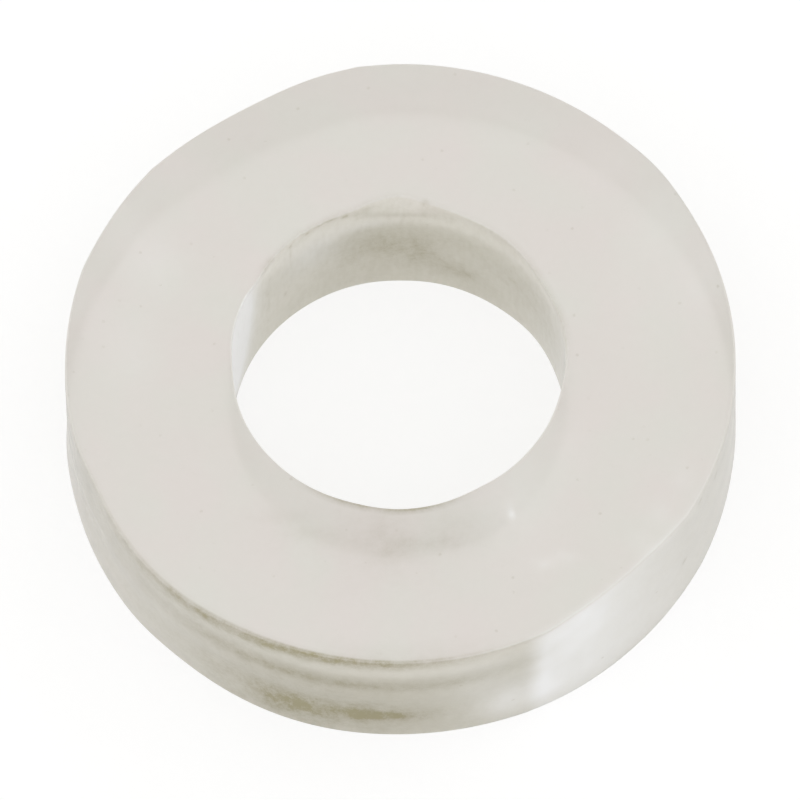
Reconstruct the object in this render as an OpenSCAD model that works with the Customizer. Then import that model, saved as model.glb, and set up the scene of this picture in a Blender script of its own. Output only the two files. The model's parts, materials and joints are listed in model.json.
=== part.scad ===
// Soft rubber washer: one flat ring cut from clear elastomer sheet. It lies on its lower face,
// with the middle of its round outline on Z and the lower face in the XY plane. All sizes in mm.

/* [Ring] */
// Outside diameter, at the rims of the two flat faces
ring_od = 12.7; // [11:0.1:18]
// Diameter of the bore
bore_d = 6.35; // [4:0.05:7.5]
// How far the bore was punched off the middle of the outline, along X
bore_off_x = -0.03; // [-0.1:0.01:0.1]
// How far the bore was punched off the middle of the outline, along Y
bore_off_y = 0.09; // [-0.1:0.01:0.1]
// Thickness from the lower face to the upper face
ring_h = 3.1; // [2.2:0.05:5]
// Width of the small break along each of the four rims
rim_break = 0.04; // [0.02:0.01:0.1]

/* [Cut wall] */
// How far the outer wall draws in half way up, where the sheet bulged under the cutter
waist_depth = 0.035; // [0.02:0.005:0.08]
// Height from one faint ring in the outer wall to the next, counted down from the upper face
groove_pitch = 1.14; // [0.9:0.01:1.3]
// Height of each faint ring
groove_w = 0.34; // [0.2:0.01:0.5]
// Depth of each faint ring
groove_depth = 0.012; // [0.006:0.001:0.03]

/* [Trimmed flats] */
// Direction of the long flat at the back, in degrees from +X
back_flat_dir = 118.5; // [112:0.5:124]
// Depth of the back flat below the round outline
back_flat_depth = 0.21; // [0.12:0.01:0.3]
// Sweep radius of the back flat
back_flat_r = 10.6; // [9.5:0.1:14]
// Direction of the short flat beside it
side_flat_dir = 142; // [138:0.5:146]
// Depth of the short flat
side_flat_depth = 0.08; // [0.05:0.01:0.12]
// Sweep radius of the short flat
side_flat_r = 8.6; // [8:0.1:10]
// Direction of the leaning flat at the front
front_flat_dir = 311; // [300:0.5:316]
// Depth of the front flat at the upper face
front_flat_top = 0.125; // [0.1:0.005:0.15]
// Depth of the front flat at the lower face
front_flat_foot = 0.04; // [0.02:0.005:0.06]
// Sweep radius of the front flat
front_flat_r = 10.1; // [9.5:0.1:14]

/* [Torn bore rim] */
// Direction of the shallow tear in the upper rim of the bore
tear_dir = 87; // [60:1:120]
// How far the tear runs outwards at the upper face
tear_reach = 0.24; // [0.12:0.01:0.4]
// How far the tear runs down the wall of the bore
tear_drop = 0.14; // [0.1:0.01:0.3]
// Radius of the round cut that leaves the tear
tear_r = 2.4; // [1.8:0.1:3]

/* [Hidden] */
$fn = 180;
waist_fn = 1440;
// Overshoot of every cutting shape past the surface that it cuts
spare = 1;

ring_r = ring_od / 2;
bore_r = bore_d / 2;

// The waist is one arc through both rims. Its centre lies outside the ring, half way up.
waist_r = (pow(ring_h / 2, 2) + pow(waist_depth, 2)) / (2 * waist_depth);
waist_x = ring_r - waist_depth + waist_r;

// Radius of the outer wall at height z
function wall_x(z) = waist_x - sqrt(pow(waist_r, 2) - pow(z - ring_h / 2, 2));

groove_r = (pow(groove_w / 2, 2) + pow(groove_depth, 2)) / (2 * groove_depth);
groove_count = floor((ring_h - groove_w) / groove_pitch);

// A 45 degree break across the rim at point p, which faces out along x and along z
module rim_cut(p, x_side, z_side) {
    translate(p)
        polygon([
            [spare * x_side, -rim_break * z_side - spare * z_side],
            [spare * x_side, spare * z_side],
            [-rim_break * x_side - spare * x_side, spare * z_side]
        ]);
}

// Half section of the disc before its bore, with x as the radius and y as the height
module disc_section() {
    difference() {
        square([ring_r + waist_depth, ring_h]);
        translate([waist_x, ring_h / 2])
            circle(r = waist_r, $fn = waist_fn);
        for (turn = [1 : groove_count]) {
            groove_z = ring_h - turn * groove_pitch;
            translate([wall_x(groove_z) - groove_depth + groove_r, groove_z])
                circle(r = groove_r);
        }
        for (side = [[0, -1], [ring_h, 1]])
            rim_cut([ring_r, side[0]], 1, side[1]);
    }
}

// Half section of everything that the punch takes out of the middle, with both of its rim breaks
module bore_section() {
    translate([0, -spare])
        square([bore_r, ring_h + 2 * spare]);
    for (side = [[0, -1], [ring_h, 1]])
        rim_cut([bore_r, side[0]], -1, side[1]);
}

// Everything inside a knife cut that sweeps past the ring. The cut is foot_depth below the round
// outline at the lower face and top_depth below it at the upper face.
module inside_flat(dir, top_depth, foot_depth, sweep_r) {
    lean = atan2(top_depth - foot_depth, ring_h);
    rotate([0, 0, dir])
        translate([ring_r - foot_depth, 0, 0])
            rotate([0, -lean, 0])
                translate([-sweep_r, 0, -spare])
                    cylinder(h = ring_h + 2 * spare, r = sweep_r);
}

// Shallow tear: a flat leaning round cut that meets the bore wall tear_drop below the upper face
module tear() {
    lean = atan2(tear_reach, tear_drop);
    rotate([0, 0, tear_dir])
        translate([bore_r, 0, ring_h - tear_drop])
            rotate([0, lean, 0])
                translate([-tear_r, 0, -spare])
                    cylinder(h = tear_drop + 2 * spare, r = tear_r);
}

module washer() {
    color("#dedbd4")
        difference() {
            intersection() {
                rotate_extrude()
                    disc_section();
                inside_flat(back_flat_dir, back_flat_depth, back_flat_depth, back_flat_r);
                inside_flat(side_flat_dir, side_flat_depth, side_flat_depth, side_flat_r);
                inside_flat(front_flat_dir, front_flat_top, front_flat_foot, front_flat_r);
            }
            translate([bore_off_x, bore_off_y, 0]) {
                rotate_extrude()
                    bore_section();
                tear();
            }
        }
}

washer();
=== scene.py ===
import bmesh
import bpy
import json
import math
from mathutils import Matrix, Vector, noise


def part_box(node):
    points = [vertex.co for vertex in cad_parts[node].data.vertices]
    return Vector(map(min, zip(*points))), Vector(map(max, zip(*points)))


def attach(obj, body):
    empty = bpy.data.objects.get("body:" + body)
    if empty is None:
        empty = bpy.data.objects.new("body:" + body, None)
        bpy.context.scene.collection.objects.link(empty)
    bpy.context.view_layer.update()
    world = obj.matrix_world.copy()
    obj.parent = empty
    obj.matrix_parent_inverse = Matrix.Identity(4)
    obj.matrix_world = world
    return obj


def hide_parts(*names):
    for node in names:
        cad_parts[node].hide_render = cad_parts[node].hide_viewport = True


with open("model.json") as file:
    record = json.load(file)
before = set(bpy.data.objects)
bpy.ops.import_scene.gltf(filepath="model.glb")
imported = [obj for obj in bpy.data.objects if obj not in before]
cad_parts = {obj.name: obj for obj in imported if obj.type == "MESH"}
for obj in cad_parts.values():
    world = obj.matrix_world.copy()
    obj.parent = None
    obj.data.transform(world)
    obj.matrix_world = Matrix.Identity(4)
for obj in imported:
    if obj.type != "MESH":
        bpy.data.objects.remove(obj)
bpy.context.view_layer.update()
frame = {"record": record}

mm = 0.001  # one millimetre in scene units
hair = 0.001 * mm  # less than any step of the mesh

lowCorner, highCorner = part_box("washer")
boreMount = next(m for m in frame["record"]["mounts"] if m["name"] == "bore")

# the ring of clear rubber, with all directions and spreads in degrees, counted from +X
ring = {
    "outerRadius": (highCorner.x - lowCorner.x) / 2,
    "height": highCorner.z,
    "boreRadius": boreMount["dims"]["r_mm"] * mm,
    "boreMiddle": boreMount["pos_m"][:2],
    "steps": 640,  # points round the ring
    "wallCuts": 44,  # rows of points up each wall
    "faceCuts": 20,  # and across each face
    "rimRound": 0.035 * mm,
    "rimSegments": 3,
    "rimRows": (0.045 * mm, 0.12 * mm),  # from each rim to the first rows of points on the face
    "wallBand": 0.6 * mm,  # a shift of a wall fades out over this width of the faces
    "levelNormal": 0.999,  # upward or downward part of a normal that counts as a flat face
    # on the left the outer wall draws in: height, depth, spread in height
    "waist": (1.05 * mm, 0.035 * mm, 0.5 * mm),
    # rings left in the outer wall by the knife: height of the lowest, pitch, depth
    "rings": (0.82 * mm, 1.14 * mm, 0.013 * mm),
    # where the rings are deepest, how far they spread to both sides, and their share elsewhere
    "ringsAt": (250, 40, 0.1),
    "ringWander": (0.06 * mm, 4),  # how far they wander up and down, and how often
    "ringFade": 0.12,  # they fade out at the foot over this share of the height
    # knife cuts: direction, half width at the upper and at the lower face,
    # depth at the upper and at the lower face
    "flats": [
        (118.5, 23.0, 23.0, 0.21 * mm, 0.21 * mm),
        (142.0, 17.6, 17.6, 0.08 * mm, 0.08 * mm),
        (311.0, 16.3, 21.0, 0.125 * mm, 0.04 * mm),
    ],
    # soft swells of the outer wall: direction, spread, swell at the upper and at the lower face
    "swells": [
        (352, 22, 0.020 * mm, -0.005 * mm),
        (75, 22, -0.018 * mm, 0.0),
        (96, 5, -0.018 * mm, 0.0),
        (310, 13, 0.0, 0.036 * mm),
        (38, 5, 0.035 * mm, 0.0),
        (174, 15, -0.035 * mm, 0.005 * mm),
        (202, 5, -0.055 * mm, 0.004 * mm),
        (226, 9, 0.070 * mm, -0.030 * mm),
        (252, 10, 0.0, 0.025 * mm),
        (298, 6, 0.0, 0.014 * mm),
        (216, 5, 0.0, 0.022 * mm),
        (181, 5.5, 0.0, 0.030 * mm),
        (359.5, 5, 0.0, 0.022 * mm),
        (137, 3.5, -0.020 * mm, 0.0),
        (100.5, 3, 0.018 * mm, 0.0),
        (106, 4.5, 0.028 * mm, 0.0),
    ],
    # torn upper rim of the bore: direction, spread, how far it runs outwards
    "tears": [
        (88.5, 5.5, 0.150 * mm),
        (82.0, 12.0, 0.110 * mm),
        (97.0, 4.0, 0.050 * mm),
        (51.0, 8.0, 0.040 * mm),
        (29.0, 7.0, -0.035 * mm),
        (3.0, 7.0, 0.045 * mm),
        (137.0, 4.0, -0.040 * mm),
        (147.0, 4.0, -0.080 * mm),
        (158.0, 5.0, -0.030 * mm),
        (182.0, 10.0, -0.060 * mm),
        (270.0, 10.0, 0.020 * mm),
        (254.0, 8.0, -0.018 * mm),
        (297.0, 6.0, -0.026 * mm),
        (331.0, 6.0, 0.012 * mm),
    ],
    "tearDrop": 0.46 * mm,  # how far down the bore the tears reach
    "tearCurve": 2.5,  # the higher, the more they keep to the rim
    # soft swells of the bore at the lower face: direction, spread, how far outwards
    "boreSwells": [(35, 9, 0.032 * mm), (88, 7, -0.018 * mm)],
    # ragged stretch of its upper rim: direction, spread, size of the rags, width of one rag
    "ragged": (118, 16, 0.020 * mm, 0.12 * mm),
}
ringWidth = ring["outerRadius"] - ring["boreRadius"]


def spinBlank(size):
    bm = bmesh.new()
    corners = [
        bm.verts.new((size["boreRadius"], 0, 0)),
        bm.verts.new((size["outerRadius"], 0, 0)),
        bm.verts.new((size["outerRadius"], 0, size["height"])),
        bm.verts.new((size["boreRadius"], 0, size["height"])),
    ]
    sides = [bm.edges.new((corners[i], corners[(i + 1) % 4])) for i in range(4)]
    bmesh.ops.spin(
        bm, geom=corners + sides, cent=(0, 0, 0), axis=(0, 0, 1), angle=math.tau,
        steps=size["steps"], use_merge=True,
    )
    bmesh.ops.remove_doubles(bm, verts=bm.verts, dist=hair)
    bmesh.ops.recalc_face_normals(bm, faces=bm.faces)
    return bm


def isUpright(edge):
    a, b = edge.verts
    return abs(a.co.z - b.co.z) > ring["height"] / 2


def isRadial(edge):
    a, b = edge.verts
    return abs(a.co.xy.length - b.co.xy.length) > ringWidth / 2


def isRim(edge):
    return not isUpright(edge) and not isRadial(edge)


bm = spinBlank(ring)
bmesh.ops.bevel(
    bm, geom=[e for e in bm.edges if isRim(e)], offset=ring["rimRound"], offset_type="OFFSET",
    segments=ring["rimSegments"], profile=0.5, affect="EDGES", material=-1,
)
bmesh.ops.subdivide_edges(
    bm, edges=[e for e in bm.edges if isUpright(e)], cuts=ring["wallCuts"], use_grid_fill=True,
)
bmesh.ops.subdivide_edges(
    bm, edges=[e for e in bm.edges if isRadial(e)], cuts=ring["faceCuts"], use_grid_fill=True,
)

# the first rows of points on the faces move close to the rims, where the marks need them
innerRim = ring["boreRadius"] + ring["rimRound"]
outerRim = ring["outerRadius"] - ring["rimRound"]
rowPitch = (outerRim - innerRim) / (ring["faceCuts"] + 1)
for v in bm.verts:
    for rim, towards in ((innerRim, 1), (outerRim, -1)):
        row = round(towards * (v.co.xy.length - rim) / rowPitch)
        if 1 <= row <= len(ring["rimRows"]):
            v.co.xy = v.co.xy.normalized() * (rim + towards * ring["rimRows"][row - 1])
print("blank ring:", len(bm.verts), "points,", len(bm.faces), "faces")


def flatReach(direction, halfWidth, cutDepth, angle):
    # how far out a round knife cut leaves the wall in this direction from the axis
    full = ring["outerRadius"]
    least = full - cutDepth
    centre = (full ** 2 - least ** 2) / (2 * (full * math.cos(math.radians(halfWidth)) - least))
    sweep = least - centre
    turn = angle - math.radians(direction)
    return centre * math.cos(turn) + math.sqrt(sweep ** 2 - (centre * math.sin(turn)) ** 2)


def bell(x):
    return math.exp(-x * x / 2)


def ease(x):
    # 0 to 1 with soft ends
    x = max(0, min(1, x))
    return x * x * (3 - 2 * x)


def angleApart(angle, direction):
    # degrees from the direction to the angle, from -180 to 180
    return (math.degrees(angle) - direction + 180) % 360 - 180


def outwards(angle):
    return Vector((math.cos(angle), math.sin(angle), 0))


def swellAt(swells, angle):
    return sum(
        reach * bell(angleApart(angle, direction) / spread)
        for direction, spread, reach in swells
    )


def flatCut(angle, z):
    # how far the knife cuts take the wall in
    level = z / ring["height"]
    cut = 0
    for direction, widthTop, widthFoot, atTop, atFoot in ring["flats"]:
        halfWidth = widthFoot + (widthTop - widthFoot) * level
        if abs(angleApart(angle, direction)) < halfWidth:
            cutDepth = atFoot + (atTop - atFoot) * level
            reach = flatReach(direction, halfWidth, cutDepth, angle)
            cut = max(cut, ring["outerRadius"] - reach)
    return cut


def outerShift(angle, z):
    # how far the outer wall stands off a plain cylinder
    level = z / ring["height"]
    waistHeight, waistDepth, waistSpread = ring["waist"]
    toTheLeft = (1 - math.cos(angle)) / 2
    shift = -waistDepth * toTheLeft * bell((z - waistHeight) / waistSpread)
    lowest, pitch, depth = ring["rings"]
    deepest, spread, elsewhere = ring["ringsAt"]
    share = elsewhere + (1 - elsewhere) * bell(angleApart(angle, deepest) / spread)
    far, often = ring["ringWander"]
    wander = far * noise.noise(outwards(angle) * often)
    wave = math.sin(math.tau * (z + wander - lowest) / pitch)
    shift -= depth * share * ease(level / ring["ringFade"]) * wave
    for direction, spread, atTop, atFoot in ring["swells"]:
        swell = atFoot + (atTop - atFoot) * level
        shift += swell * bell(angleApart(angle, direction) / spread)
    return shift - flatCut(angle, z)


def boreShift(angle, z):
    # how far the bore stands off a plain cylinder, most of all where its upper rim is torn
    shift = swellAt(ring["boreSwells"], angle) * (1 - z / ring["height"])
    share = (z - ring["height"] + ring["tearDrop"]) / ring["tearDrop"]
    if share <= 0:
        return shift
    torn = swellAt(ring["tears"], angle)
    direction, spread, size, width = ring["ragged"]
    rags = noise.noise(outwards(angle) * ring["boreRadius"] / width)
    torn += size * bell(angleApart(angle, direction) / spread) * rags
    return shift + torn * share ** ring["tearCurve"]


# wear and painted light, kept on the points of the mesh as two values from 0 to 1:
# stain is dirt and painted shade, and frost is a matt, whitish bloom that also paints highlights
wearAndPaintedLight = {
    # painted shade and specks on the outer wall: direction, height, spread in degrees, spread in
    # height, strength
    "wallShadeAndSpecks": [
        # shade at the left
        (231, 2.80 * mm, 13, 0.35 * mm, 0.24),
        (212, 2.70 * mm, 12, 0.60 * mm, 0.22),
        (205, 1.20 * mm, 18, 1.50 * mm, 0.10),
        (229, 3.03 * mm, 9, 0.10 * mm, 0.22),
        # painted shade: a dark line under the upper rim, and the one below it
        (262, 3.08 * mm, 14, 0.06 * mm, 0.42),
        (244, 2.94 * mm, 11, 0.15 * mm, 0.50),
        (265, 2.97 * mm, 10, 0.11 * mm, 0.54),
        (243, 2.08 * mm, 10, 0.14 * mm, 0.38),
        (262, 2.06 * mm, 11, 0.12 * mm, 0.42),
        (279, 2.16 * mm, 6, 0.14 * mm, 0.20),
        # shade at the front
        (253, 1.20 * mm, 14, 0.70 * mm, 0.24),
        (238, 0.60 * mm, 8, 0.80 * mm, 0.22),
        (254, 0.25 * mm, 10, 0.30 * mm, 0.28),
        (256, 1.10 * mm, 9, 0.14 * mm, 0.16),
        # painted shade: dark spots near the foot
        (249, 0.76 * mm, 3.4, 0.20 * mm, 0.42),
        (246, 0.45 * mm, 4.0, 0.25 * mm, 0.22),
        (247, 1.08 * mm, 3.5, 0.14 * mm, 0.16),
        (263, 0.80 * mm, 6.0, 0.12 * mm, 0.64),
        (262, 0.80 * mm, 9.0, 0.30 * mm, 0.34),
        # shade and specks at the right
        (348, 2.70 * mm, 7, 0.50 * mm, 0.07),
        (326.4, 1.25 * mm, 0.4, 0.045 * mm, 0.55),
        (338.2, 2.56 * mm, 0.5, 0.045 * mm, 0.45),
        (331.7, 2.85 * mm, 0.5, 0.045 * mm, 0.35),
    ],
    "wallHighlights": [
        # painted highlights: bright spots in the front cut and its left end, and a pale band at the
        # right
        (289, 0.75 * mm, 4.5, 0.50 * mm, 0.44),
        (285, 0.70 * mm, 4, 0.35 * mm, 0.20),
        (283, 1.85 * mm, 6, 0.65 * mm, 0.28),
        (302, 2.50 * mm, 4, 0.70 * mm, 0.18),
        (330, 1.60 * mm, 12, 3.00 * mm, 0.16),
        (321, 3.05 * mm, 6, 0.12 * mm, 0.18),
    ],
    # painted shade, nicks and specks on the wall of the bore, in the same way
    "boreShadeAndNicks": [
        # shade near the upper rim and at the right
        (85, 2.95 * mm, 60, 0.40 * mm, 0.04),
        (36, 3.05 * mm, 14, 0.14 * mm, 0.12),
        (118, 3.05 * mm, 14, 0.14 * mm, 0.16),
        (17, 3.02 * mm, 12, 0.14 * mm, 0.10),
        (8, 2.20 * mm, 6, 1.00 * mm, 0.08),
        (88, 3.04 * mm, 12, 0.16 * mm, 0.04),
        # painted shade at the back: the dark band
        (94, 1.55 * mm, 13, 0.42 * mm, 0.44),
        (86, 2.05 * mm, 22, 0.22 * mm, 0.05),
        (60, 0.55 * mm, 7, 0.35 * mm, 0.10),
        (61, 1.85 * mm, 8, 0.40 * mm, 0.09),
        (140, 3.00 * mm, 5, 0.15 * mm, 0.10),
        (82, 1.32 * mm, 4, 0.30 * mm, 0.32),
        (70, 0.83 * mm, 9, 0.26 * mm, 0.36),
        (45, 1.55 * mm, 10, 0.35 * mm, 0.16),
        (26, 1.60 * mm, 12, 0.80 * mm, 0.30),
        (104, 0.70 * mm, 14, 0.40 * mm, 0.12),
        # painted shade along the front of the upper rim
        (243, 3.10 * mm, 6, 0.04 * mm, 0.20),
        (256, 3.10 * mm, 12, 0.04 * mm, 0.50),
        (270, 3.10 * mm, 4, 0.04 * mm, 0.15),
        (277, 3.10 * mm, 8, 0.04 * mm, 0.62),
        # nicks and specks in the back of that rim
        (141.5, 3.06 * mm, 0.9, 0.03 * mm, 0.25),
        (138.0, 3.08 * mm, 1.1, 0.03 * mm, 0.25),
        (128.2, 2.92 * mm, 0.6, 0.04 * mm, 0.60),
        (128.1, 2.50 * mm, 0.3, 0.25 * mm, 0.30),
        (121.0, 3.00 * mm, 0.7, 0.03 * mm, 0.55),
        (115.8, 3.05 * mm, 1.0, 0.02 * mm, 0.55),
        (111.5, 3.06 * mm, 1.6, 0.02 * mm, 0.40),
        (106.5, 3.00 * mm, 0.8, 0.03 * mm, 0.50),
        (103.0, 2.96 * mm, 1.8, 0.02 * mm, 0.45),
        (97.0, 3.00 * mm, 2.6, 0.02 * mm, 0.14),
        (79.0, 3.09 * mm, 0.8, 0.03 * mm, 0.35),
        # painted shade in a streak at the left, and specks
        (139.3, 1.50 * mm, 0.5, 0.35 * mm, 0.14),
        (142.0, 1.50 * mm, 4.0, 0.90 * mm, 0.05),
        (113.7, 1.42 * mm, 0.5, 0.045 * mm, 0.16),
        (82.5, 1.75 * mm, 0.5, 0.045 * mm, 0.16),
        (106.7, 1.29 * mm, 0.5, 0.045 * mm, 0.12),
        (131.1, 1.14 * mm, 0.5, 0.045 * mm, 0.40),
    ],
    "boreHighlights": [
        # painted highlights: pale spots at the back, and the bright sliver at the left
        (121, 2.10 * mm, 11, 0.42 * mm, 0.26),
        (98, 2.45 * mm, 7, 0.14 * mm, 0.26),
        (163, 1.35 * mm, 6.5, 0.75 * mm, 2.00),
        (155, 2.40 * mm, 6, 0.70 * mm, 1.40),
        (171, 2.80 * mm, 6, 0.60 * mm, 0.50),
        (118, 1.95 * mm, 8, 0.50 * mm, 0.30),
    ],
    # on the upper face, painted shade, scuffs and paler spots: place, spread, strength
    "facePaintedShade": [
        # painted shade in front of the bore, where its wall shows through the clear face
        (0.06 * mm, -3.83 * mm, 0.14 * mm, 0.14 * mm, 0.10),
        (-0.33 * mm, -3.97 * mm, 0.26 * mm, 0.18 * mm, 0.17),
        (0.55 * mm, -3.85 * mm, 0.40 * mm, 0.12 * mm, 0.15),
        (-0.45 * mm, -3.55 * mm, 0.20 * mm, 0.25 * mm, 0.10),
        (0.95 * mm, -3.60 * mm, 0.40 * mm, 0.25 * mm, 0.07),
        (-1.10 * mm, -3.75 * mm, 0.35 * mm, 0.10 * mm, 0.10),
        (-1.70 * mm, -3.55 * mm, 0.40 * mm, 0.10 * mm, 0.12),
        (-2.35 * mm, -3.20 * mm, 0.35 * mm, 0.10 * mm, 0.10),
        # soft shade round it, and along the front rim
        (-0.30 * mm, -3.50 * mm, 1.40 * mm, 0.40 * mm, 0.08),
        (-0.40 * mm, -4.40 * mm, 0.90 * mm, 0.40 * mm, 0.06),
        (-0.50 * mm, -6.20 * mm, 2.20 * mm, 0.15 * mm, 0.12),
    ],
    "faceScuffsAndHighlights": [
        # scuffs at the right of that shade
        (2.02 * mm, -3.27 * mm, 0.05 * mm, 0.09 * mm, 0.80),
        (2.60 * mm, -4.36 * mm, 0.16 * mm, 0.07 * mm, 0.45),
        (3.00 * mm, -4.22 * mm, 0.16 * mm, 0.07 * mm, 0.40),
        # paler spots at the right of the bore and near the outer rim, and a painted highlight along
        # the front cut
        (2.10 * mm, -2.90 * mm, 0.55 * mm, 0.75 * mm, 0.28),
        (3.00 * mm, -1.80 * mm, 0.35 * mm, 0.50 * mm, 0.16),
        (5.28 * mm, -2.72 * mm, 0.12 * mm, 0.22 * mm, 0.26),
        (4.86 * mm, -3.43 * mm, 0.16 * mm, 0.20 * mm, 0.28),
        (4.48 * mm, -4.02 * mm, 0.18 * mm, 0.18 * mm, 0.26),
        (-4.55 * mm, 2.20 * mm, 0.40 * mm, 0.50 * mm, 0.25),
        (-5.10 * mm, 0.40 * mm, 0.40 * mm, 0.60 * mm, 0.20),
        (4.60 * mm, 1.50 * mm, 0.50 * mm, 1.20 * mm, 0.10),
        (5.80 * mm, 1.55 * mm, 0.40 * mm, 0.70 * mm, 0.28),
        (5.15 * mm, 2.90 * mm, 0.45 * mm, 0.60 * mm, 0.22),
        (4.10 * mm, 4.05 * mm, 0.50 * mm, 0.45 * mm, 0.16),
        (2.70 * mm, 4.80 * mm, 0.60 * mm, 0.30 * mm, 0.10),
        (-4.15 * mm, 4.10 * mm, 0.50 * mm, 0.45 * mm, 0.13),
        (-5.15 * mm, 3.00 * mm, 0.40 * mm, 0.55 * mm, 0.22),
        (-5.90 * mm, 1.60 * mm, 0.30 * mm, 0.60 * mm, 0.17),
    ],
    # blotches that break up all of these: width, how much one adds to or takes from the stain and
    # painted shade, and the share of that in the frost and painted highlights
    "blotch": (0.35 * mm, 0.3, 0.35),
    # drag marks of the punch down the bore: width, height, strength
    "drag": (0.07 * mm, 0.30 * mm, 0.11),
    # the first row of points on a face takes this share of the marks on the wall beside it
    "boreRowShare": 0.45,
    "wallRowShare": (0.12, 0.4),  # of stain and painted shade, and of frost and painted highlights
    # painted highlight on the front cut, laid on as frost, with its places in degrees
    "cutHighlight": 0.78,
    "cutWander": (1.5, 0.4 * mm),  # how far its edge wanders, and over what height
    "cutStart": (-1, 5.5),  # from the left end of the cut to where it starts, and on to the full highlight
    "cutEnd": (8, 40),  # from that end to where it begins to fade, and on to none
    "cutRim": (0.12 * mm, 0.45),  # it weakens over this height at the upper rim, to this share
    "cutFoot": (0.7 * mm, 0.75),  # and in the same way at the foot
}


def wallMarks(marks, angle, z):
    return sum(
        strength * bell(angleApart(angle, direction) / spread) * bell((z - height) / tall)
        for direction, height, spread, tall, strength in marks
    )


def faceMarks(marks, x, y):
    return sum(
        strength * bell((x - markX) / wide) * bell((y - markY) / deep)
        for markX, markY, wide, deep, strength in marks
    )


def dragMarks(x, y, z):
    width, height, strength = wearAndPaintedLight["drag"]
    return strength * noise.noise(Vector((x / width, y / width, z / height)))


def cutHighlight(angle, z):
    # painted highlight on the front cut, laid on as frost: sharp where the knife went in, fading
    # out to the right
    direction, _, widthFoot, _, _ = ring["flats"][-1]
    degrees, height = wearAndPaintedLight["cutWander"]
    wander = degrees * noise.noise(Vector((0, 0, z / height)))
    past = angleApart(angle, direction) + widthFoot + wander
    start, growth = wearAndPaintedLight["cutStart"]
    end, fade = wearAndPaintedLight["cutEnd"]
    rimBand, rimShare = wearAndPaintedLight["cutRim"]
    footBand, footShare = wearAndPaintedLight["cutFoot"]
    rim = rimShare + (1 - rimShare) * ease((ring["height"] - z) / rimBand)
    foot = footShare + (1 - footShare) * ease(z / footBand)
    along = ease((past - start) / growth) * (1 - ease((past - end) / fade))
    return wearAndPaintedLight["cutHighlight"] * rim * foot * along


stainAndShadeLayer = bm.verts.layers.float.new("stainAndShade")
frostAndHighlightLayer = bm.verts.layers.float.new("frostAndHighlight")
rimEnd = ring["rimRound"] + hair
rowEnd = rimEnd + ring["rimRows"][0]
blotchSize, blotchShare, blotchInFrost = wearAndPaintedLight["blotch"]
for v in bm.verts:
    radius = v.co.xy.length
    z = v.co.z
    angle = math.atan2(v.co.y, v.co.x)
    fromWall = ring["outerRadius"] - radius
    fromBore = radius - ring["boreRadius"]
    moved = radius
    if fromWall < ring["wallBand"]:
        moved += outerShift(angle, z) * (1 - fromWall / ring["wallBand"])
    if fromBore < ring["wallBand"]:
        moved += boreShift(angle, z) * (1 - fromBore / ring["wallBand"])
    offCentre = fromWall / ringWidth  # the bore was punched off the middle of the outline
    v.co.x = moved * math.cos(angle) + ring["boreMiddle"][0] * offCentre
    v.co.y = moved * math.sin(angle) + ring["boreMiddle"][1] * offCentre

    # stain gathers dirt and painted shade here, frost gathers bloom and painted highlights
    stainAndShade = 0
    frostAndHighlight = 0
    if fromWall < rowEnd:
        stainAndShadeShare, frostAndHighlightShare = (1, 1) if fromWall < rimEnd else wearAndPaintedLight["wallRowShare"]
        stainAndShade += stainAndShadeShare * wallMarks(wearAndPaintedLight["wallShadeAndSpecks"], angle, z)
        frostAndHighlight += frostAndHighlightShare * (wallMarks(wearAndPaintedLight["wallHighlights"], angle, z) + cutHighlight(angle, z))
    if fromBore < rowEnd:
        share = 1 if fromBore < rimEnd else wearAndPaintedLight["boreRowShare"]
        stainAndShade += share * wallMarks(wearAndPaintedLight["boreShadeAndNicks"], angle, z)
    if fromBore < ring["rimRound"] - hair:
        stainAndShade += dragMarks(v.co.x, v.co.y, z)
        frostAndHighlight += wallMarks(wearAndPaintedLight["boreHighlights"], angle, z)
    if z > ring["height"] - hair:
        stainAndShade += faceMarks(wearAndPaintedLight["facePaintedShade"], v.co.x, v.co.y)
        frostAndHighlight += faceMarks(wearAndPaintedLight["faceScuffsAndHighlights"], v.co.x, v.co.y)
    blotch = 1 + blotchShare * noise.noise(v.co / blotchSize)
    v[stainAndShadeLayer] = max(0, min(1, stainAndShade * blotch))
    v[frostAndHighlightLayer] = max(0, min(1, frostAndHighlight * (1 - blotchInFrost + blotchInFrost * blotch)))

# smooth all over, but for a crisp edge between each flat face and its rims
for face in bm.faces:
    face.smooth = True
for edge in bm.edges:
    level = [abs(face.normal.z) > ring["levelNormal"] for face in edge.link_faces]
    edge.smooth = level[0] == level[1]

mesh = bpy.data.meshes.new("washer_body")
bm.to_mesh(mesh)
bm.free()
washerBody = bpy.data.objects.new("washer_body", mesh)
bpy.context.scene.collection.objects.link(washerBody)
print("ring shaped:", len(mesh.polygons), "faces")


def linearColour(hexText):
    # sRGB hex text to the linear colour that a shader takes
    channels = [int(hexText[i:i + 2], 16) / 255 for i in (1, 3, 5)]
    linear = [c / 12.92 if c <= 0.04045 else ((c + 0.055) / 1.055) ** 2.4 for c in channels]
    return (*linear, 1)


def addNode(tree, kind, settings=None, links=None):
    # a setting goes to the socket of that name or number, or else to the node itself
    node = tree.nodes.new(kind)
    for name, value in (settings or {}).items():
        if isinstance(name, int) or name in node.inputs:
            node.inputs[name].default_value = value
        else:
            setattr(node, name, value)
    for name, source in (links or {}).items():
        tree.links.new(source, node.inputs[name])
    return node


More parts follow.
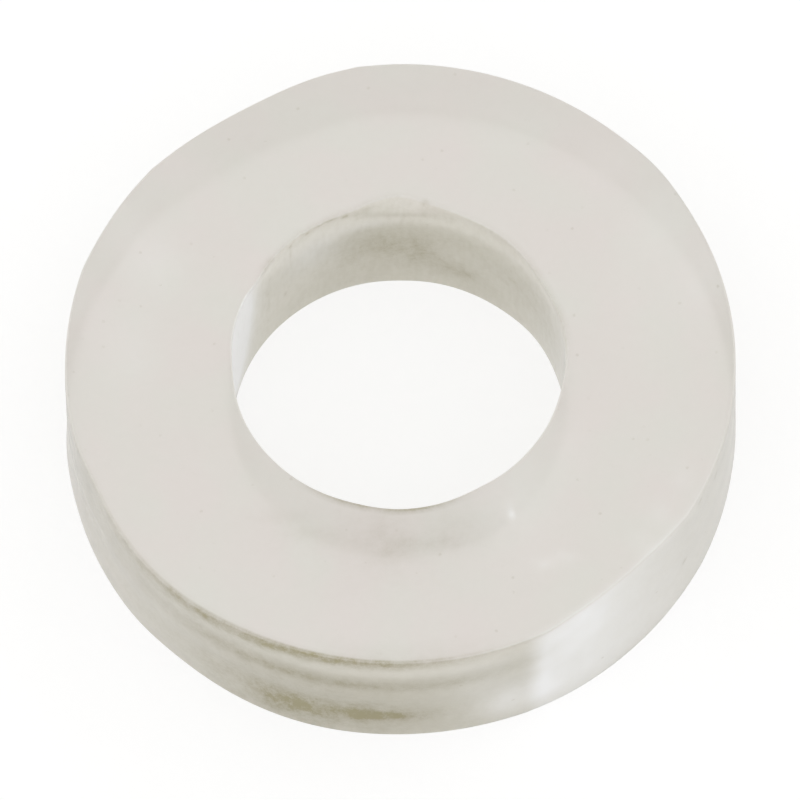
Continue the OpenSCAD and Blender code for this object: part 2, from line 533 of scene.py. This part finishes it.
# clear silicone rubber, pressed into sheet between satin plates and then cut out with a knife:
# the faces blur what is behind them, the cut walls are smoother, and the depth looks faintly yellow
rubber = {
    "faceColour": "#f0eae6",
    "faceCloud": "#eeece6",
    # the walls take a darker, yellower tint than the faces: partly the rubber's own tint, partly
    # painted shade
    "wallTintAndShade": "#ebe7dc",
    # white of the frost and of the painted highlights
    "frostAndHighlightColour": "#ffffff",
    # colour of the stains and of the painted shade
    "stainAndShadeColour": "#877d51",
    "frostedShare": 0.9,  # how much of the light a fully frosted spot turns back
    "ior": 1.41,
    "faceRoughness": 0.30,
    "wallRoughness": 0.28,
    "depthTint": "#d8d4b8",
    "density": 20.0,  # of the tint, per metre
    "cloudSize": 1.5 * mm,  # about as wide as the faint clouds in the faces
    "cloudRange": (0.4, 0.62),  # values of the noise that give no cloud and a full one
    "mottleSize": 0.22 * mm,  # dirt clings in blotches of about this width
    "mottleRange": (0.4, 0.7),
    "mottleOnWall": 0.13,
    "mottleOnFace": 0.03,
    # stains and painted shade break up in grains: two values of the same noise, and how strong they
    # are at each
    "stainAndShadeRange": (0.35, 0.65),
    "stainAndShadeGrain": (0.76, 1.24),
    "dustPitch": 0.34 * mm,  # from one speck of dust to the next
    "dustSize": 0.04 * mm,  # from the middle of a speck to its edge
    "dustFrom": 0.4,  # this share of the specks is left out
    "dustShare": 0.25,  # darkness of the darkest one
    "dustRagged": 0.05 * mm,  # how far the outline of a speck wanders
    "grainSize": 0.10 * mm,  # the plates leave 0.02 mm grains, too fine to show: drawn coarser
    "grainDepth": 0.0006 * mm,
}


def clearSilicone(look):
    material = bpy.data.materials.new("cut clear silicone")
    material.use_nodes = True
    tree = material.node_tree
    tree.nodes.clear()
    output = addNode(tree, "ShaderNodeOutputMaterial")
    place = addNode(tree, "ShaderNodeTexCoord").outputs["Object"]
    axes = addNode(tree, "ShaderNodeSeparateXYZ", links={"Vector": place})
    half = ring["height"] / 2
    fromMiddle = addNode(tree, "ShaderNodeMath", {"operation": "SUBTRACT", 1: half},
                         {0: axes.outputs["Z"]})
    level = addNode(tree, "ShaderNodeMath", {"operation": "ABSOLUTE"}, {0: fromMiddle.outputs[0]})
    # 1 on the flat faces and 0 on the walls
    onFace = addNode(tree, "ShaderNodeMapRange", {
        "From Min": half - ring["rimRound"], "From Max": half - ring["rimRound"] / 4,
    }, {"Value": level.outputs[0]}).outputs["Result"]
    rough = addNode(tree, "ShaderNodeMapRange", {
        "To Min": look["wallRoughness"], "To Max": look["faceRoughness"],
    }, {"Value": onFace})

    # soft clouds in the faces
    clouds = addNode(tree, "ShaderNodeTexNoise", {"Scale": 1 / look["cloudSize"], "Detail": 2.0},
                     {"Vector": place})
    cloudShare = addNode(tree, "ShaderNodeMapRange", {
        "From Min": look["cloudRange"][0], "From Max": look["cloudRange"][1],
    }, {"Value": clouds.outputs["Fac"]})
    face = addNode(tree, "ShaderNodeMix", {
        "data_type": "RGBA",
        6: linearColour(look["faceColour"]),
        7: linearColour(look["faceCloud"]),
    }, {0: cloudShare.outputs["Result"]})

    # frost, which also paints the highlights: whiter, and it turns back the light that clear rubber
    # lets through
    frostAndHighlight = addNode(tree, "ShaderNodeAttribute", {"attribute_name": "frostAndHighlight"}).outputs["Fac"]
    clear = addNode(tree, "ShaderNodeMapRange", {"To Min": 1.0, "To Max": 1 - look["frostedShare"]},
                    {"Value": frostAndHighlight})
    plain = addNode(tree, "ShaderNodeMix", {
        "data_type": "RGBA", 6: linearColour(look["wallTintAndShade"]),
    }, {0: onFace, 7: face.outputs[2]})
    frostedAndLit = addNode(tree, "ShaderNodeMix", {
        "data_type": "RGBA", 7: linearColour(look["frostAndHighlightColour"]),
    }, {0: frostAndHighlight, 6: plain.outputs[2]})

    # dirt and painted shade: the stains and painted shade kept on the mesh, a fine mottle all over,
    # and dust
    stainAndShade = addNode(tree, "ShaderNodeAttribute", {"attribute_name": "stainAndShade"}).outputs["Fac"]
    mottle = addNode(tree, "ShaderNodeTexNoise", {
        "Scale": 1 / look["mottleSize"], "Detail": 5.0, "Roughness": 0.85,
    }, {"Vector": place}).outputs["Fac"]
    mottleShare = addNode(tree, "ShaderNodeMapRange", {
        "To Min": look["mottleOnWall"], "To Max": look["mottleOnFace"],
    }, {"Value": onFace})
    mottled = addNode(tree, "ShaderNodeMapRange", {
        "From Min": look["mottleRange"][0], "From Max": look["mottleRange"][1],
    }, {"Value": mottle, "To Max": mottleShare.outputs["Result"]})
    fine = addNode(tree, "ShaderNodeTexNoise", {"Scale": 1 / look["dustSize"]}, {"Vector": place})
    ragged = addNode(tree, "ShaderNodeVectorMath", {
        "operation": "MULTIPLY_ADD", 1: (look["dustRagged"],) * 3,
    }, {0: fine.outputs["Color"], 2: place})
    dust = addNode(tree, "ShaderNodeTexVoronoi", {"Scale": 1 / look["dustPitch"]},
                   {"Vector": ragged.outputs["Vector"]})
    darkness = addNode(tree, "ShaderNodeSeparateColor", links={"Color": dust.outputs["Color"]})
    dustShare = addNode(tree, "ShaderNodeMapRange", {
        "From Min": look["dustFrom"], "To Max": look["dustShare"],
    }, {"Value": darkness.outputs["Red"]})
    edge = look["dustSize"] / look["dustPitch"]
    specks = addNode(tree, "ShaderNodeMapRange", {"From Min": edge, "From Max": edge / 2},
                     {"Value": dust.outputs["Distance"], "To Max": dustShare.outputs["Result"]})
    clean = addNode(tree, "ShaderNodeMath", {"operation": "SUBTRACT", "use_clamp": True, 0: 1.0},
                    {1: frostAndHighlight})
    grains = addNode(tree, "ShaderNodeMapRange", {
        "From Min": look["stainAndShadeRange"][0], "From Max": look["stainAndShadeRange"][1],
        "To Min": look["stainAndShadeGrain"][0], "To Max": look["stainAndShadeGrain"][1],
    }, {"Value": mottle})
    grainy = addNode(tree, "ShaderNodeMath", {"operation": "MULTIPLY"},
                     {0: stainAndShade, 1: grains.outputs["Result"]})
    marks = addNode(tree, "ShaderNodeMath", {"operation": "MULTIPLY_ADD"},
                    {0: mottled.outputs["Result"], 1: clean.outputs[0], 2: grainy.outputs[0]})
    dirtAndShade = addNode(tree, "ShaderNodeMath", {"operation": "ADD", "use_clamp": True},
                   {0: marks.outputs[0], 1: specks.outputs["Result"]})
    colour = addNode(tree, "ShaderNodeMix", {
        "data_type": "RGBA", 7: linearColour(look["stainAndShadeColour"]),
    }, {0: dirtAndShade.outputs[0], 6: frostedAndLit.outputs[2]})

    # fine grain of the pressed faces
    grain = addNode(tree, "ShaderNodeTexNoise", {"Scale": 1 / look["grainSize"], "Detail": 2.0},
                    {"Vector": place})
    bump = addNode(tree, "ShaderNodeBump", {"Distance": look["grainDepth"]},
                   {"Height": grain.outputs["Fac"], "Strength": onFace})

    surface = addNode(tree, "ShaderNodeBsdfPrincipled", {
        "IOR": look["ior"], "Coat Roughness": look["wallRoughness"],
    }, {
        "Base Color": colour.outputs[2],
        "Coat Weight": frostAndHighlight,
        "Transmission Weight": clear.outputs["Result"],
        "Roughness": rough.outputs["Result"],
        "Normal": bump.outputs["Normal"],
    })
    inside = addNode(tree, "ShaderNodeVolumeAbsorption", {
        "Color": linearColour(look["depthTint"]),
        "Density": look["density"],
    })
    tree.links.new(surface.outputs["BSDF"], output.inputs["Surface"])
    tree.links.new(inside.outputs["Volume"], output.inputs["Volume"])
    print("clear silicone:", len(tree.nodes), "nodes")
    return material


washerBody.data.materials.append(clearSilicone(rubber))

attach(washerBody, "root")
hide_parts("washer")


# the floor under the washer
floorLook = {
    "size": 400 * mm,  # from its middle to its edges
    "gap": 0.01 * mm,  # left under the washer, so that their faces don't coincide
    "card": "#e6e6e6",  # what lights the washer from below
    # what the camera sees: a part that takes the shadow and a part that glows, white together
    "shade": 0.32,
    "glow": 0.74,
    "seenInRubber": 0.90,  # how bright the floor is in reflections and through the rubber
}


def whiteFloor(look):
    material = bpy.data.materials.new("matt white card")
    material.use_nodes = True
    tree = material.node_tree
    tree.nodes.clear()
    output = addNode(tree, "ShaderNodeOutputMaterial")
    card = addNode(tree, "ShaderNodeBsdfDiffuse", {"Color": linearColour(look["card"])})
    shade = addNode(tree, "ShaderNodeBsdfDiffuse", {"Color": (*(look["shade"],) * 3, 1)})
    glow = addNode(tree, "ShaderNodeEmission", {"Strength": look["glow"]})
    white = addNode(tree, "ShaderNodeAddShader",
                    links={0: shade.outputs["BSDF"], 1: glow.outputs["Emission"]})
    seen = addNode(tree, "ShaderNodeEmission", {"Strength": look["seenInRubber"]})
    path = addNode(tree, "ShaderNodeLightPath")
    throughRubber = addNode(tree, "ShaderNodeMath", {"operation": "MAXIMUM"}, {
        0: path.outputs["Is Glossy Ray"], 1: path.outputs["Is Transmission Ray"],
    })
    unseen = addNode(tree, "ShaderNodeMixShader", links={
        0: throughRubber.outputs[0], 1: card.outputs["BSDF"], 2: seen.outputs["Emission"],
    })
    mix = addNode(tree, "ShaderNodeMixShader", links={
        0: path.outputs["Is Camera Ray"], 1: unseen.outputs["Shader"], 2: white.outputs["Shader"],
    })
    tree.links.new(mix.outputs["Shader"], output.inputs["Surface"])
    return material


bm = bmesh.new()
bmesh.ops.create_grid(bm, x_segments=1, y_segments=1, size=floorLook["size"])
mesh = bpy.data.meshes.new("floor")
bm.to_mesh(mesh)
bm.free()
floor = bpy.data.objects.new("floor", mesh)
floor.location.z = -floorLook["gap"]
bpy.context.scene.collection.objects.link(floor)
floor.data.materials.append(whiteFloor(floorLook))
print("white floor laid")


# plain light from all around, with one dim part high up behind the washer, which its walls show
studio = {
    "light": (1.0, 1.0, 1.0, 1),
    "dimColour": (0.425, 0.415, 0.32, 1),
    "dimMiddle": (90, 68),  # azimuth and elevation, in degrees
    "dimRadius": (14, 34),  # fully dim inside the first, full light outside the second
}


def lightStudio(look):
    world = bpy.data.worlds.new("studio")
    bpy.context.scene.world = world
    world.use_nodes = True
    tree = world.node_tree
    tree.nodes.clear()
    output = addNode(tree, "ShaderNodeOutputWorld")
    where = addNode(tree, "ShaderNodeTexCoord").outputs["Generated"]
    azimuth, elevation = (math.radians(turn) for turn in look["dimMiddle"])
    middle = (
        math.cos(elevation) * math.cos(azimuth),
        math.cos(elevation) * math.sin(azimuth),
        math.sin(elevation),
    )
    along = addNode(tree, "ShaderNodeVectorMath", {"operation": "DOT_PRODUCT", 1: middle},
                    {0: where})
    inner, outer = (math.cos(math.radians(radius)) for radius in look["dimRadius"])
    share = addNode(tree, "ShaderNodeMapRange", {
        "interpolation_type": "SMOOTHSTEP", "From Min": outer, "From Max": inner,
    }, {"Value": along.outputs["Value"]})
    light = addNode(tree, "ShaderNodeMix", {
        "data_type": "RGBA", 6: look["light"], 7: look["dimColour"],
    }, {0: share.outputs["Result"]})
    background = addNode(tree, "ShaderNodeBackground", {"Strength": 1.0},
                         {"Color": light.outputs[2]})
    tree.links.new(background.outputs[0], output.inputs["Surface"])
    print("studio lit")


lightStudio(studio)


# the camera of the photo
shot = {
    "elevation": 63.64,  # degrees above the floor
    "roll": 1.88,  # degrees by which the right side of the picture is raised
    "distance": 67.1,  # in outer radii, from the middle of the ring
    "focalPixels": 22450,
    "pictureWidth": 800,
    "middleAt": (400.1, 397.5),  # where the middle of the ring shows in the picture
    "sensorWidth": 36,  # in millimetres, as the lens is
    "clip": (0.001, 10),  # nearest and farthest that it sees, in metres
}


def aimCamera(look):
    elevation = math.radians(look["elevation"])
    roll = math.radians(look["roll"])
    back = Vector((0, -math.cos(elevation), math.sin(elevation)))
    level = Vector((1, 0, 0))
    rise = back.cross(level)
    right = level * math.cos(roll) - rise * math.sin(roll)
    up = level * math.sin(roll) + rise * math.cos(roll)
    middle = Vector((0, 0, ring["height"] / 2))
    distance = look["distance"] * ring["outerRadius"]
    pixel = distance / look["focalPixels"]
    half = look["pictureWidth"] / 2
    aside = (look["middleAt"][0] - half) * pixel
    below = (look["middleAt"][1] - half) * pixel
    place = middle + back * distance - right * aside + up * below
    lens = bpy.data.cameras.new("camera")
    lens.sensor_width = look["sensorWidth"]
    lens.lens = look["focalPixels"] / look["pictureWidth"] * look["sensorWidth"]
    lens.clip_start, lens.clip_end = look["clip"]
    camera = bpy.data.objects.new("camera", lens)
    camera.matrix_world = Matrix((right, up, back)).transposed().to_4x4()
    camera.location = place
    bpy.context.scene.collection.objects.link(camera)
    bpy.context.scene.camera = camera
    print("camera aimed, lens:", round(lens.lens), "mm")


aimCamera(shot)
bpy.context.scene.view_settings.view_transform = "Standard"
